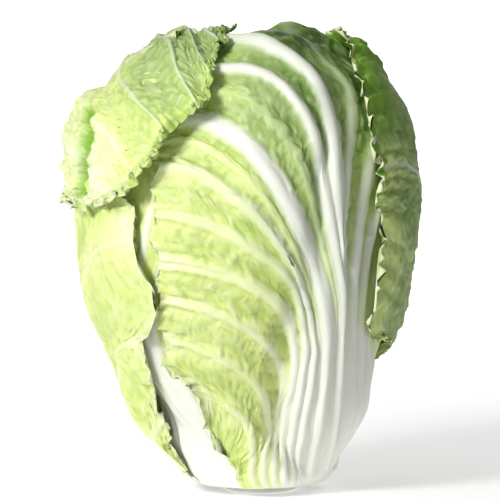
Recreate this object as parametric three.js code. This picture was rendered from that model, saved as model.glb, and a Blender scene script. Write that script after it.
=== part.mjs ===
// A head of napa cabbage, standing on its trimmed butt. Millimetres, +Z up, angles in degrees.
// The origin is the middle of the cut face of the stem. The front of the head faces -Y.
//
// The head is built as it grows: round a core, one leaf after another is laid over those inside it.
// Every point of it has a direction from the middle of the head and a height above the core, so a
// leaf that is laid on whatever lies under it never cuts into it.

import * as THREE from 'three';

// ---- driving dimensions ----

const LAYER_GAP = 1.2;          // air between a leaf and what lies under it
const COVERED_GAP = 2.3;        // the same for a leaf that other leaves cover
const FOOT_GAP = 2;             // more of it where the leaves bend sharply into the stump
const STEM_TOP = 23.6;          // height of the stump inside the leaf bases
const STEM_CLEARANCE = 0.6;     // air between the stump and the leaf bases round it
const BLADE = 1.3;              // thickness of a blade between its veins
const PETIOLE = 8.5;            // thickness of a leaf stalk at its foot
const VEIN = 2.2;               // how far a vein stands out of its blade
const SCALLOP = 0.05;           // how far the margin stands out between two veins, as a share
const CROWDING = 1.3;           // how much the ends of the lowest veins crowd together on the margin
const CLIMB = [1, 1.7, 1.15];   // how early a vein climbs: near the midrib, further out, and the lowest
const BEND = [1.9, 3.2, 1.5];   // how late it bends away to the side: likewise
const GOLDEN_ANGLE = 137.5;     // from one leaf to the next that grew inside it

// How far the middle of the head stands to one side of the cut face, by height.
const LEAN = [
  [0, 0], [20, -4], [45, -5], [60, -6.5], [82, -8.8], [100, -9.8], [150, -8], [175, -6.9], [200, -5],
  [270, -5],
];

// The core, from the rim of the cut face to the crown: polar angle, radius, height, the slope of the
// line on which layers are stacked above it, and how far they spread there, because every leaf thins
// towards its foot. The last two rows lie past the crown, as its mirror.
const CORE = [
  [13.5, 20.6, 1, 6, 0.14],
  [16, 20, 4.5, 2, 0.18],
  [19, 18.5, 11, -3, 0.26],
  [24, 15.5, 22, -8, 0.37],
  [32, 20.5, 38, -11, 0.52],
  [42, 34, 58, -11, 0.68],
  [54, 48, 82, -10, 0.83],
  [70, 63, 113, -6, 0.96],
  [90, 71.4, 150, 0, 1],
  [110, 70.6, 181, 20, 1],
  [130, 61, 207, 42, 1],
  [150, 38, 224.5, 65, 1],
  [165, 21, 229.5, 80, 1],
  [180, 0, 231, 90, 1],
  [195, -21, 229.5, 100, 1],
  [210, -38, 224.5, 115, 1],
];

// Half the width of a leaf's stalk and midrib, as an angle round the head, by polar angle.
const STALK_WIDTH = [[13, 56], [24, 50], [34, 36], [50, 18], [70, 11], [90, 7.5], [130, 4], [180, 2]];

// Where the front leaf's midrib runs: polar angle and angle to the side.
const FRONT_MIDRIB = [
  [13, 36], [19, 32], [25, 28], [32, 20.5], [38, 14.5], [44, 11], [50, 9], [60, 6.5], [70, 4], [80, 2],
  [90, 0.2], [106, -1.5], [122, -3], [131, -4.5], [138, -8], [146, -13.5], [158, -18.5], [172, -22],
];

// Half the width of its stalk, on the left and on the right of the midrib: it is broad, and runs round
// to the side of the head.
const FRONT_STALK = [
  [
    [13, 58], [22, 52], [27, 48], [38, 34], [50, 24], [64, 13], [90, 8], [130, 4], [180, 2],
  ],
  [
    [13, 52], [22, 50], [30, 50], [38, 51], [50, 42], [64, 23], [90, 12], [130, 5], [180, 2],
  ],
];

// How far the veins spread out from the midrib before they bend away, on each side of two leaves.
const FRONT_FAN = [
  [
    [13, 150], [22, 140], [28, 122], [34, 98], [40, 82], [46, 68], [56, 54], [66, 42], [76, 30],
    [90, 20], [110, 12], [180, 4],
  ],
  [
    [13, 60], [24, 55], [34, 45], [44, 36], [54, 30], [64, 27], [76, 25], [90, 22], [110, 16], [180, 4],
  ],
];
const RIGHT_FAN = [
  [[13, 30], [24, 26], [34, 22], [50, 15], [70, 11], [90, 7.5], [130, 4], [180, 2]],
  STALK_WIDTH,
];

// The front leaf's veins on its left and on its right: number, place across that fan, place along the
// margin, how much of a vein runs straight before it bends away, and how late it bends.
const FRONT_VEINS = [
  [
    [0, 0, 0, 0.4, 1.2], [1, 0.01, 0.11, 0.38, 1.2], [2, 0.06, 0.195, 0.36, 1.2],
    [3, 0.11, 0.275, 0.36, 1.25], [4, 0.15, 0.33, 0.36, 1.3], [5, 0.19, 0.41, 0.38, 1.4],
    [6, 0.24, 0.55, 0.4, 1.9], [7, 0.29, 0.63, 0.4, 2], [8, 0.34, 0.69, 0.4, 1.8],
    [9, 0.39, 0.75, 0.35, 1.7], [10, 0.45, 0.84, 0.3, 1.7], [11, 0.53, 1, 0.2, 1.4],
  ],
  [
    [0, 0, 0, 0.4, 1.2], [1, 0.02, 0.15, 0.45, 1.2], [2, 0.22, 0.25, 0.4, 1.3],
    [3, 0.36, 0.38, 0.35, 1.3], [4, 0.54, 0.52, 0.3, 1.3], [5, 0.8, 0.74, 0.3, 1.3], [6, 1, 1, 0.3, 1.3],
  ],
];

// How much of a leaf's twist is left at a polar angle.
const TWIST_FADE = [
  [13, 1.06], [22, 1], [28, 0.81], [35, 0.6], [42, 0.55], [54, 0.38], [65, 0.25], [75, 0.16], [90, 0.03],
  [100, 0], [180, 0],
];

// How thick the stalk and midrib are, as a share of PETIOLE, by polar angle.
const STALK_THICKNESS = [
  [13, 0.35], [17, 0.72], [22, 1], [40, 0.75], [60, 0.45], [90, 0.28], [130, 0.16], [180, 0.06],
];

// The margin of an ordinary leaf, from its tip down one side: polar angle and angle to the side.
const MARGIN = [
  [170, 0], [166, 22], [152, 42], [130, 55], [102, 61], [76, 59], [56, 51], [40, 46], [29, 46], [21, 52],
];
const HOOD_LEVEL = 14;          // layers under a hood stand about this high above the core
const MARGIN_FOOT = 21;         // polar angle where every leaf's margin runs into its stalk

// The leaves, from the outermost inward. Twist turns a leaf's foot to the side, and veins are counted
// on each side of the midrib. A leaf with no margin of its own has the ordinary one, stretched by its
// reach; frill waves the margin and flare lifts it, on each side. Stout is how thick its stalk is, as a
// share, and placed gives the places of its veins one by one.
const LEAVES = [
  {
    name: 'right_leaf', azimuth: 120, twist: 30, start: 16, veins: [7, 6], rows: 18, color: 0x86a84e,
    left: [
      [150, 0], [151, -8], [154, -17], [158, -28], [162, -40], [160, -51], [150, -57], [138, -63],
      [120, -68], [104, -70], [88, -70], [76, -70], [66, -70], [61, -68], [59, -60], [58, -48],
      [56, -32], [52, -16], [46, -2], [36, 6], [28, 12], [21, 16],
    ],
    right: [
      [150, 0], [151, 22], [146, 44], [128, 60], [102, 67], [76, 67], [56, 63], [41, 58], [29, 55],
      [21, 58],
    ],
    fan: RIGHT_FAN, stout: 0.5, frill: [1, 3], flare: [0, 0.5],
    crest: { polar: 154, side: -26, height: 7, radius: 22 },
  },
  {
    name: 'left_leaf', azimuth: -102.5, twist: -16, start: 16, veins: [6, 7], rows: 18, color: 0xc3dc7c,
    left: [
      [178, 0], [176, -24], [166, -44], [145, -60], [112, -67], [82, -67], [58, -62], [42, -57], [30, -54],
      [21, -56],
    ],
    right: [
      [178, 0], [180, 20], [181, 42], [177, 57], [158, 66], [132, 70], [108, 65], [98, 61], [89, 63],
      [80, 64], [71, 68], [63, 67], [58, 60], [53, 56], [47, 52], [42, 48], [35, 44], [26, 36], [21, 37],
    ],
    frill: [2.5, 2], flare: [0.5, 0.5],
    hood: {
      height: 9, crease: 166, rise: 12, ends: 238, from: -45, to: -15,
      bulge: 9, bulgeAt: 193, bulgeSpan: 23,
    },
  },
  {
    name: 'front_leaf', azimuth: 30, start: 16, veins: [11, 6], rows: 21, color: 0xd5e5a0,
    left: [
      [172, -22], [169, -31], [162, -41], [149, -48], [134, -53], [118, -57], [98, -58], [84, -57],
      [76, -55], [66, -56], [58, -58], [52, -57], [47, -52], [41, -50], [35, -52], [29, -51], [25, -42],
    ],
    right: [
      [172, -22], [176, -4], [171, 16], [160, 34], [140, 50], [115, 58], [90, 61], [65, 62], [45, 70],
      [30, 82], [21, 88],
    ],
    midrib: FRONT_MIDRIB, stalk: FRONT_STALK, fan: FRONT_FAN, placed: FRONT_VEINS, stout: 1.7,
    frill: [5, 0.6], flare: [2, 0], bareBelow: 112,
  },
  {
    name: 'back_leaf', azimuth: 172.5, start: 15, veins: [5, 5], rows: 16, color: 0x9fba60,
    covered: true, stout: 0.85, reach: 1.08, frill: [1, 1],
  },
  {
    name: 'inner_leaf_1', azimuth: -50, start: 15.5, veins: [5, 5], rows: 15, color: 0xe0ebb4,
    covered: true, stout: 0.85, frill: [0.8, 0.8],
  },
  {
    name: 'inner_leaf_2', azimuth: 80, start: 17, veins: [5, 5], rows: 17, color: 0xcfdd96,
    covered: true, frill: [0.6, 0.6],
  },
  {
    name: 'inner_leaf_3', azimuth: -135, start: 18, veins: [4, 4], rows: 15, color: 0xcfdd96,
    covered: true, stout: 0.5, frill: [0.6, 0.6],
  },
  {
    name: 'inner_leaf_4', azimuth: 2.5, start: 19, veins: [5, 5], rows: 17, color: 0xdbe6ac,
    covered: true, stout: 0.5, reach: 0.97, frill: [0.5, 0.5],
  },
];

const HEART_LEAVES = 5;         // leaves that stand out of the heart's own surface
const HEART_COLUMNS = 36;
const HEART_ROWS = 20;
const HEART_FOOT = 26;          // polar angle of the heart's lowest ring, just above the stump
const HEART_MARGIN = 34;        // its leaves are free of its foot above this polar angle
const HEART_ALLOWANCE = 2;      // its flat faces stand this far above the curves they follow, at most

// ---- small helpers ----

const radians = (angle) => angle * Math.PI / 180;
const clamp = (x, low, high) => Math.min(high, Math.max(low, x));
const mix = (a, b, share) => a + (b - a) * share;

function ease(from, to, x) {
  const t = clamp((x - from) / (to - from), 0, 1);
  return t * t * (3 - 2 * t);
}

// A seeded draw from 0 to 1.
function draw(number) {
  const x = Math.sin(number * 12.9898 + 4.1) * 43758.5453;
  return x - Math.floor(x);
}

// A smooth curve through rows of numbers whose first column rises or falls: the other columns at x.
function through(rows, x) {
  const rising = rows[rows.length - 1][0] > rows[0][0];
  let i = 0;
  while (i < rows.length - 2 && (rising ? x > rows[i + 1][0] : x < rows[i + 1][0])) i += 1;
  const a = rows[i];
  const b = rows[i + 1];
  const before = rows[i - 1] ?? a;
  const after = rows[i + 2] ?? b;
  const span = b[0] - a[0];
  const t = clamp((x - a[0]) / span, 0, 1);
  return a.slice(1).map((start, n) => {
    const end = b[n + 1];
    const slopeA = (end - before[n + 1]) / (b[0] - before[0]) * span;
    const slopeB = (after[n + 1] - start) / (after[0] - a[0]) * span;
    const t2 = t * t;
    const t3 = t2 * t;
    return start * (2 * t3 - 3 * t2 + 1) + slopeA * (t3 - 2 * t2 + t) + end * (3 * t2 - 2 * t3)
      + slopeB * (t3 - t2);
  });
}

// ---- directions from the middle of the head, and places above the core ----

function direction(polar, azimuth) {
  const p = radians(polar);
  const a = radians(azimuth);
  return new THREE.Vector3(Math.sin(p) * Math.sin(a), -Math.sin(p) * Math.cos(a), -Math.cos(p));
}

// How far the middle of the head stands to one side of the cut face, at a height.
function leanAt(z) {
  return through(LEAN, z)[0];
}

function place(toward, height) {
  const polar = THREE.MathUtils.radToDeg(Math.acos(clamp(-toward.z, -1, 1)));
  const azimuth = Math.atan2(toward.x, -toward.y);
  const [radius, level, slope, spread] = through(CORE, Math.max(polar, CORE[0][0]));
  const out = radius + spread * height * Math.cos(radians(slope));
  const z = level + spread * height * Math.sin(radians(slope));
  return new THREE.Vector3(out * Math.sin(azimuth) + leanAt(z), -out * Math.cos(azimuth), z);
}

function spreadAt(polar) {
  return through(CORE, polar)[3];
}

// ---- the growing head: how high the layers stand above the core, in every direction ----

const SPOTS = 6000;
const SPOT_RADIUS = 0.062;      // in radians, a little more than from one spot to the next
const SMOOTHING = 0.085;
const NEIGHBOURHOOD = 0.1;      // a leaf clears everything this near to each of its points
const COVERED_NEIGHBOURHOOD = 0.17;  // the same for a leaf that other leaves cover

const spots = Array.from({ length: SPOTS }, (_, i) => {
  const z = -1 + (2 * i + 1) / SPOTS;
  const around = i * Math.PI * (3 - Math.sqrt(5));
  const r = Math.sqrt(1 - z * z);
  return new THREE.Vector3(r * Math.cos(around), r * Math.sin(around), z);
});

// The spots lie in order of height, so those near a direction are found in a short run of them.
function spotsNear(toward, radius) {
  const middle = (toward.z + 1) * SPOTS / 2;
  const reach = radius * SPOTS / 2 + 1;
  const near = [];
  const closest = Math.cos(radius);
  const last = Math.min(SPOTS - 1, Math.ceil(middle + reach));
  for (let i = Math.max(0, Math.floor(middle - reach)); i <= last; i += 1) {
    const cosine = spots[i].dot(toward);
    if (cosine > closest) near.push([i, Math.acos(Math.min(1, cosine))]);
  }
  return near;
}

const stack = new Float64Array(SPOTS);

// The highest layer within a radius of each spot.
function raisedStack(radius) {
  return spots.map((spot) => Math.max(...spotsNear(spot, radius).map(([i]) => stack[i])));
}

function smoothAt(heights, toward) {
  let sum = 0;
  let weights = 0;
  for (const [i, distance] of spotsNear(toward, SMOOTHING)) {
    const weight = (1 - distance / SMOOTHING) ** 2;
    sum += heights[i] * weight;
    weights += weight;
  }
  return sum / weights;
}

function raiseSpots(toward, height) {
  for (const [i] of spotsNear(toward, SPOT_RADIUS)) stack[i] = Math.max(stack[i], height);
}

// ---- one leaf ----

// The ordinary margin on one side of a leaf (-1 left, 1 right), stretched by the leaf's reach.
function ordinaryMargin(leaf, side) {
  const reach = leaf.reach ?? 1;
  return MARGIN.map(([polar, angle]) => [MARGIN_FOOT + (polar - MARGIN_FOOT) * reach, side * angle]);
}

// A margin as rows that start with the share of its length, from 0 at the tip to 1 at its lowest vein.
function marginRows(points) {
  let length = 0;
  const rows = points.map(([polar, side], i) => {
    if (i > 0) length += Math.hypot(polar - points[i - 1][0], side - points[i - 1][1]);
    return [length, polar, side];
  });
  return rows.map(([at, polar, side]) => [at / length, polar, side]);
}

// The angle by which the midrib stands beside the leaf's own meridian.
function midribSide(leaf, polar) {
  if (leaf.midrib) return through(leaf.midrib, polar)[0];
  return (leaf.twist ?? 0) * through(TWIST_FADE, polar)[0];
}

// From 0 on a vein to 1 in the middle of the bay between two veins.
function betweenVeins(leaf, share) {
  const count = share < 0 ? leaf.veins[0] : leaf.veins[1];
  return 0.5 - 0.5 * Math.cos(2 * Math.PI * share * count);
}

// Where a leaf's vein runs: share is 0 at the midrib, and 1 or -1 at the lowest vein on each side;
// along is 0 at the foot and 1 at the margin. Veins leave the stalk side by side and bend away.
function onVein(leaf, share, along) {
  const sign = share < 0 ? -1 : 1;
  const which = share < 0 ? 0 : 1;
  const spread = Math.abs(share);
  const rows = share < 0 ? leaf.leftRows : leaf.rightRows;
  const lowest = ease(0.45, 1, spread);
  const bends = mix(mix(BEND[0], BEND[1], ease(0.2, 0.5, spread)), BEND[2], lowest);
  const ordinary = [spread, 1 - (1 - spread) ** CROWDING, 0, bends];
  const [root, end, late, power] = leaf.placed
    ? through(leaf.placed[which], spread * leaf.veins[which]) : ordinary;
  const [endPolar, marginSide] = through(rows, end);
  const endSide = marginSide * (1 + SCALLOP * betweenVeins(leaf, share));
  const climb = 1 - (1 - along) ** mix(mix(CLIMB[0], CLIMB[1], ease(0.4, 0.7, spread)), CLIMB[2], lowest);
  const bend = clamp((along - late) / (1 - late), 0, 1) ** power;
  const polar = mix(leaf.start, endPolar, climb);
  const fan = leaf.fan?.[which] ?? STALK_WIDTH;
  const away = endSide - sign * root * through(fan, endPolar)[0] - midribSide(leaf, endPolar);
  const side = midribSide(leaf, polar) + sign * root * through(fan, polar)[0] + away * bend;
  return { polar, side, toward: leafDirection(leaf, polar, side) };
}

// Up to the equator a side angle is an azimuth; above it, it is measured off the leaf's own meridian,
// so that a leaf can cross the crown.
function leafDirection(leaf, polar, side) {
  if (polar <= 90) return direction(polar, leaf.azimuth + side);
  const outward = direction(90, leaf.azimuth);
  const sideways = direction(90, leaf.azimuth + 90);
  const p = radians(polar);
  const s = radians(side);
  return outward.multiplyScalar(Math.cos(s) * Math.sin(p))
    .addScaledVector(new THREE.Vector3(0, 0, 1), -Math.cos(s) * Math.cos(p))
    .addScaledVector(sideways, Math.sin(s));
}

// How thick the leaf is: a stalk that is thick in its middle, with a ridge along each vein.
function thickness(leaf, share, along, point) {
  const stout = leaf.stout ?? 1;
  const beside = point.side - midribSide(leaf, point.polar);
  const [stalk] = through(leaf.stalk?.[beside < 0 ? 0 : 1] ?? STALK_WIDTH, point.polar);
  const [full] = through(STALK_THICKNESS, point.polar);
  const off = Math.abs(beside) / stalk;
  const body = PETIOLE * stout * full * (1 - Math.min(1, off) ** 2) ** 0.7;
  const ridge = (1 - betweenVeins(leaf, share)) * mix(1, 0.35, along) * ease(0, 0.08, along);
  return BLADE / spreadAt(point.polar) + body + VEIN * stout * ridge;
}

// How far a hood stands off what lies under it: a fold over a level crease, with a bulge above it.
function hoodLift(hood, point) {
  const { z } = place(point.toward, HOOD_LEVEL);
  const across = ease(hood.from, hood.to, point.side);
  const fold = ease(hood.crease - hood.rise, hood.crease, z) * (1 - ease(hood.bulgeAt, hood.ends, z));
  const bulge = ease(hood.bulgeSpan, 0, Math.abs(z - hood.bulgeAt)) * ease(70, 30, point.side);
  return across * (hood.height * fold + hood.bulge * bulge);
}

// How far the leaf lifts off what it lies on: a waved margin, a flared edge, a hood or a crest. A
// margin is waved only where no outer leaf covers it.
function lift(leaf, share, along, point) {
  const side = share < 0 ? 0 : 1;
  const bay = Math.floor(Math.abs(share) * leaf.veins[side]);
  const swell = betweenVeins(leaf, share) * mix(0.5, 1.2, draw(bay * 7 + side * 31 + leaf.azimuth));
  const bare = leaf.bareBelow ? ease(leaf.bareBelow, leaf.bareBelow - 20, point.polar) : 1;
  const waved = leaf.frill[side] * swell * ease(0.7, 1, along);
  const flared = (leaf.flare?.[side] ?? 0) * ease(-0.1, 0.25, Math.abs(share)) * ease(0.75, 1, along);
  let height = bare * (waved + flared);
  if (leaf.crest) {
    const away = Math.hypot(point.polar - leaf.crest.polar, (point.side - leaf.crest.side) * 0.6);
    height += leaf.crest.height * ease(leaf.crest.radius, 0, away) * ease(0.72, 1, along);
  }
  if (leaf.hood) height += hoodLift(leaf.hood, point);
  return height;
}

// Shares across the leaf: each vein, and the middle of the bay between it and the next.
function acrossLeaf(leaf) {
  const [left, right] = leaf.veins;
  const shares = [];
  for (let i = -2 * left; i < 0; i += 1) shares.push(i / (2 * left));
  for (let i = 0; i <= 2 * right; i += 1) shares.push(i / (2 * right));
  return shares;
}

// The leaf's under and upper heights above the core on its whole grid, laid on the stack.
function layLeaf(leaf) {
  const ground = raisedStack(leaf.covered ? COVERED_NEIGHBOURHOOD : NEIGHBOURHOOD);
  const air = leaf.covered ? COVERED_GAP : LAYER_GAP;
  const shares = acrossLeaf(leaf);
  const grid = [];
  for (let row = 0; row <= leaf.rows; row += 1) {
    const along = 1 - (1 - row / leaf.rows) ** 1.2;
    grid.push(shares.map((share) => {
      const point = onVein(leaf, share, along);
      const gap = air / spreadAt(point.polar) + FOOT_GAP * (1 - ease(20, 30, point.polar));
      const under = smoothAt(ground, point.toward) + gap + lift(leaf, share, along, point);
      return { toward: point.toward, under, over: under + thickness(leaf, share, along, point) };
    }));
  }
  return grid;
}

// Adds the leaf to the stack: each cell of its grid is sampled closely enough to touch every spot.
function addToStack(grid) {
  for (let row = 0; row < grid.length - 1; row += 1) {
    for (let column = 0; column < grid[0].length - 1; column += 1) {
      const next = column + 1;
      const corners = [grid[row][column], grid[row][next], grid[row + 1][column], grid[row + 1][next]];
      const long = corners[0].toward.angleTo(corners[2].toward);
      const wide = corners[2].toward.angleTo(corners[3].toward);
      const stepsUp = Math.ceil(long / SPOT_RADIUS) + 1;
      const stepsAcross = Math.ceil(wide / SPOT_RADIUS) + 1;
      for (let i = 0; i <= stepsUp; i += 1) {
        for (let j = 0; j <= stepsAcross; j += 1) {
          const start = corners[0].toward.clone().lerp(corners[1].toward, j / stepsAcross);
          const end = corners[2].toward.clone().lerp(corners[3].toward, j / stepsAcross);
          const low = mix(corners[0].over, corners[1].over, j / stepsAcross);
          const high = mix(corners[2].over, corners[3].over, j / stepsAcross);
          raiseSpots(start.lerp(end, i / stepsUp).normalize(), mix(low, high, i / stepsUp));
        }
      }
    }
  }
}

// A closed shell between two grids of points, with a rim round its edge.
function shell(upper, lower) {
  const rows = upper.length;
  const columns = upper[0].length;
  const positions = [...upper.flat(), ...lower.flat()].flatMap((point) => point.toArray());
  const at = (row, column, layer) => layer * rows * columns + row * columns + column;
  const index = [];
  const quad = (a, b, c, d) => index.push(a, b, c, a, c, d);
  for (let row = 0; row < rows - 1; row += 1) {
    for (let column = 0; column < columns - 1; column += 1) {
      const a = at(row, column, 0);
      const b = at(row, column + 1, 0);
      const c = at(row + 1, column + 1, 0);
      const d = at(row + 1, column, 0);
      const under = rows * columns;
      quad(a, b, c, d);
      index.push(a + under, c + under, b + under, a + under, d + under, c + under);
    }
  }
  const last = rows - 1;
  for (let column = 0; column < columns - 1; column += 1) {
    quad(at(0, column, 1), at(0, column + 1, 1), at(0, column + 1, 0), at(0, column, 0));
    quad(at(last, column, 0), at(last, column + 1, 0), at(last, column + 1, 1), at(last, column, 1));
  }
  const side = columns - 1;
  for (let row = 0; row < rows - 1; row += 1) {
    quad(at(row, 0, 0), at(row + 1, 0, 0), at(row + 1, 0, 1), at(row, 0, 1));
    quad(at(row, side, 1), at(row + 1, side, 1), at(row + 1, side, 0), at(row, side, 0));
  }
  const geometry = new THREE.BufferGeometry();
  geometry.setAttribute('position', new THREE.Float32BufferAttribute(positions, 3));
  geometry.setIndex(index);
  return geometry;
}

function leafy(color) {
  return new THREE.MeshStandardMaterial({ color, roughness: 0.55, metalness: 0 });
}

// ---- the pieces ----

const head = new THREE.Group();

function add(name, geometry, finish) {
  const mesh = new THREE.Mesh(geometry, finish);
  mesh.name = name;
  head.add(mesh);
}

for (const leaf of LEAVES) {
  leaf.leftRows = marginRows(leaf.left ?? ordinaryMargin(leaf, -1));
  leaf.rightRows = marginRows(leaf.right ?? ordinaryMargin(leaf, 1));
}

// The stump: a short cone, wide and flat where it was cut.
function buildStem() {
  const profile = [[0, 0], [CORE[0][1] - STEM_CLEARANCE, 0]];
  for (const polar of [13.5, 16, 18, 20, 22, 24]) {
    const [radius, level] = through(CORE, polar);
    profile.push([radius - STEM_CLEARANCE, level]);
  }
  profile.push([0, STEM_TOP]);
  const geometry = new THREE.LatheGeometry(profile.map(([r, z]) => new THREE.Vector2(r, z)), 32);
  geometry.rotateX(Math.PI / 2);
  const position = geometry.attributes.position;
  for (let i = 0; i < position.count; i += 1) {
    position.setX(i, position.getX(i) + leanAt(position.getZ(i)));
  }
  add('stem', geometry, leafy(0xf1efd8));
}

// The heart: the smallest leaves, packed tight round the growing point, each standing out of the mass.
// Before the next leaf is laid, the stack is raised by what the heart's flat faces may stand above it.
function buildHeart() {
  const innermost = LEAVES[LEAVES.length - 1];
  for (let n = HEART_LEAVES; n > 0; n -= 1) {
    const leaf = {
      azimuth: innermost.azimuth + n * GOLDEN_ANGLE,
      start: 30, veins: [3, 3], rows: 12, stout: 0.5, reach: 0.95, frill: [0.6, 0.6],
    };
    const free = ([polar, side]) => [Math.max(polar, HEART_MARGIN), side];
    leaf.leftRows = marginRows(ordinaryMargin(leaf, -1).map(free));
    leaf.rightRows = marginRows(ordinaryMargin(leaf, 1).map(free));
    addToStack(layLeaf(leaf));
  }
  const points = [];
  for (let row = 0; row <= HEART_ROWS; row += 1) {
    const polar = mix(HEART_FOOT, 180, row / (HEART_ROWS + 1));
    for (let column = 0; column < HEART_COLUMNS; column += 1) {
      const toward = direction(polar, column * 360 / HEART_COLUMNS);
      points.push(place(toward, smoothAt(stack, toward)));
    }
  }
  points.push(new THREE.Vector3(leanAt(points[0].z), 0, points[0].z));
  points.push(place(direction(180, 0), smoothAt(stack, direction(180, 0))));
  const index = [];
  for (let column = 0; column < HEART_COLUMNS; column += 1) {
    const next = (column + 1) % HEART_COLUMNS;
    for (let row = 0; row < HEART_ROWS; row += 1) {
      const a = row * HEART_COLUMNS;
      const b = a + HEART_COLUMNS;
      index.push(a + column, a + next, b + next, a + column, b + next, b + column);
    }
    const top = HEART_ROWS * HEART_COLUMNS;
    index.push(points.length - 2, next, column, points.length - 1, top + column, top + next);
  }
  const positions = points.flatMap((point) => point.toArray());
  const geometry = new THREE.BufferGeometry();
  geometry.setAttribute('position', new THREE.Float32BufferAttribute(positions, 3));
  geometry.setIndex(index);
  add('heart', geometry, leafy(0xe6e6a0));
  for (let i = 0; i < SPOTS; i += 1) stack[i] += HEART_ALLOWANCE;
}

// A leaf: a shell between its upper and its under side, laid on all that stands inside it.
function buildLeaf(leaf) {
  const grid = layLeaf(leaf);
  addToStack(grid);
  const upper = grid.map((row) => row.map((point) => place(point.toward, point.over)));
  const lower = grid.map((row) => row.map((point) => place(point.toward, point.under)));
  add(leaf.name, shell(upper, lower), leafy(leaf.color));
}

buildStem();
buildHeart();
for (const leaf of [...LEAVES].reverse()) buildLeaf(leaf);

export default head;
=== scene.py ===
"""A head of napa cabbage: wrapper leaves laid round a heart, standing on its cut stump."""
import math
from collections import namedtuple

import bpy
import numpy as np
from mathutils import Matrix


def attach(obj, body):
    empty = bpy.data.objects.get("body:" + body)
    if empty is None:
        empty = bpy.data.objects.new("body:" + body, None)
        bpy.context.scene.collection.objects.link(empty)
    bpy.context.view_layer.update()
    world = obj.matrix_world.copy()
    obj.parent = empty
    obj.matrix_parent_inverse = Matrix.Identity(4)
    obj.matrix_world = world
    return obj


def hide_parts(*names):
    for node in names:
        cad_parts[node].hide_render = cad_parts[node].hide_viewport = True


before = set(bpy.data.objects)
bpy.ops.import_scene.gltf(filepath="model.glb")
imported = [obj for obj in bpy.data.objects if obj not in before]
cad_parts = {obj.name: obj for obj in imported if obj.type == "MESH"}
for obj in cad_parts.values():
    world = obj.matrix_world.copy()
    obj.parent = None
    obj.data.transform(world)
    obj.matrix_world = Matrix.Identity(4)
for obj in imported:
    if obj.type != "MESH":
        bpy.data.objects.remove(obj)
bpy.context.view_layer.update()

MM = 0.001
FRILL_ROWS, STEP = ((16, 4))     # rows of a frill, and fine points to one underneath

# ---- sizes of the head, in millimetres and degrees, as the solids have them ----

LAYER_GAP, COVERED_GAP, FOOT_GAP = 1.2, 2.3, 2.0
BLADE, PETIOLE, VEIN = 1.3, 8.5, 2.2
SCALLOP, CROWDING = 0.05, 1.3
CLIMB, BEND = (1.0, 1.7, 1.15), (1.9, 3.2, 1.5)
GOLDEN_ANGLE = 137.5
LEAN = [[0, 0], [20, -4], [45, -5], [60, -6.5], [82, -8.8], [100, -9.8], [150, -8], [175, -6.9], [200, -5],
    [270, -5]]
CORE = np.array([
    [13.5, 20.6, 1, 6, 0.14], [16, 20, 4.5, 2, 0.18], [19, 18.5, 11, -3, 0.26], [24, 15.5, 22, -8, 0.37],
    [32, 20.5, 38, -11, 0.52], [42, 34, 58, -11, 0.68], [54, 48, 82, -10, 0.83], [70, 63, 113, -6, 0.96],
    [90, 71.4, 150, 0, 1], [110, 70.6, 181, 20, 1], [130, 61, 207, 42, 1], [150, 38, 224.5, 65, 1],
    [165, 21, 229.5, 80, 1], [180, 0, 231, 90, 1], [195, -21, 229.5, 100, 1], [210, -38, 224.5, 115, 1]],
    float)
STALK_WIDTH = [[13, 56], [24, 50], [34, 36], [50, 18], [70, 11], [90, 7.5], [130, 4], [180, 2]]
TWIST_FADE = [[13, 1.06], [22, 1], [28, 0.81], [35, 0.6], [42, 0.55], [54, 0.38], [65, 0.25], [75, 0.16],
    [90, 0.03], [100, 0], [180, 0]]
FRONT_MIDRIB = [[13, 36], [19, 32], [25, 28], [32, 20.5], [38, 14.5], [44, 11], [50, 9], [60, 6.5], [70, 4],
    [80, 2], [90, 0.2], [106, -1.5], [122, -3], [131, -4.5], [138, -8], [146, -13.5], [158, -18.5],
    [172, -22]]
FRONT_STALK = (
    [[13, 58], [22, 52], [27, 48], [38, 34], [50, 24], [64, 13], [90, 8], [130, 4], [180, 2]],
    [[13, 52], [22, 50], [30, 50], [38, 51], [50, 42], [64, 23], [90, 12], [130, 5], [180, 2]])
FRONT_FAN = (
    [[13, 150], [22, 140], [28, 122], [34, 98], [40, 82], [46, 68], [56, 54], [66, 42], [76, 30], [90, 20],
     [110, 12], [180, 4]],
    [[13, 60], [24, 55], [34, 45], [44, 36], [54, 30], [64, 27], [76, 25], [90, 22], [110, 16], [180, 4]])
# Each vein's number, its place across the fan and along the margin, the share of it that runs straight,
# and how it bends after that.
FRONT_VEINS = (
    [[0, 0, 0, 0.4, 1.2], [1, 0.01, 0.11, 0.38, 1.2], [2, 0.06, 0.195, 0.36, 1.2],
     [3, 0.11, 0.275, 0.36, 1.25], [4, 0.15, 0.33, 0.36, 1.3], [5, 0.19, 0.41, 0.38, 1.4],
     [6, 0.24, 0.55, 0.4, 1.9], [7, 0.29, 0.63, 0.4, 2], [8, 0.34, 0.69, 0.4, 1.8],
     [9, 0.39, 0.75, 0.35, 1.7], [10, 0.45, 0.84, 0.3, 1.7], [11, 0.53, 1, 0.2, 1.4]],
    [[0, 0, 0, 0.4, 1.2], [1, 0.02, 0.15, 0.45, 1.2], [2, 0.22, 0.25, 0.4, 1.3], [3, 0.36, 0.38, 0.35, 1.3],
     [4, 0.54, 0.52, 0.3, 1.3], [5, 0.8, 0.74, 0.3, 1.3], [6, 1, 1, 0.3, 1.3]])
RIGHT_FAN_LEFT = [[13, 30], [24, 26], [34, 22], [50, 15], [70, 11], [90, 7.5], [130, 4], [180, 2]]
STALK_THICKNESS = [[13, 0.35], [17, 0.72], [22, 1], [40, 0.75], [60, 0.45], [90, 0.28], [130, 0.16],
    [180, 0.06]]
MARGIN = [[170, 0], [166, 22], [152, 42], [130, 55], [102, 61], [76, 59], [56, 51], [40, 46], [29, 46],
    [21, 52]]
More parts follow.
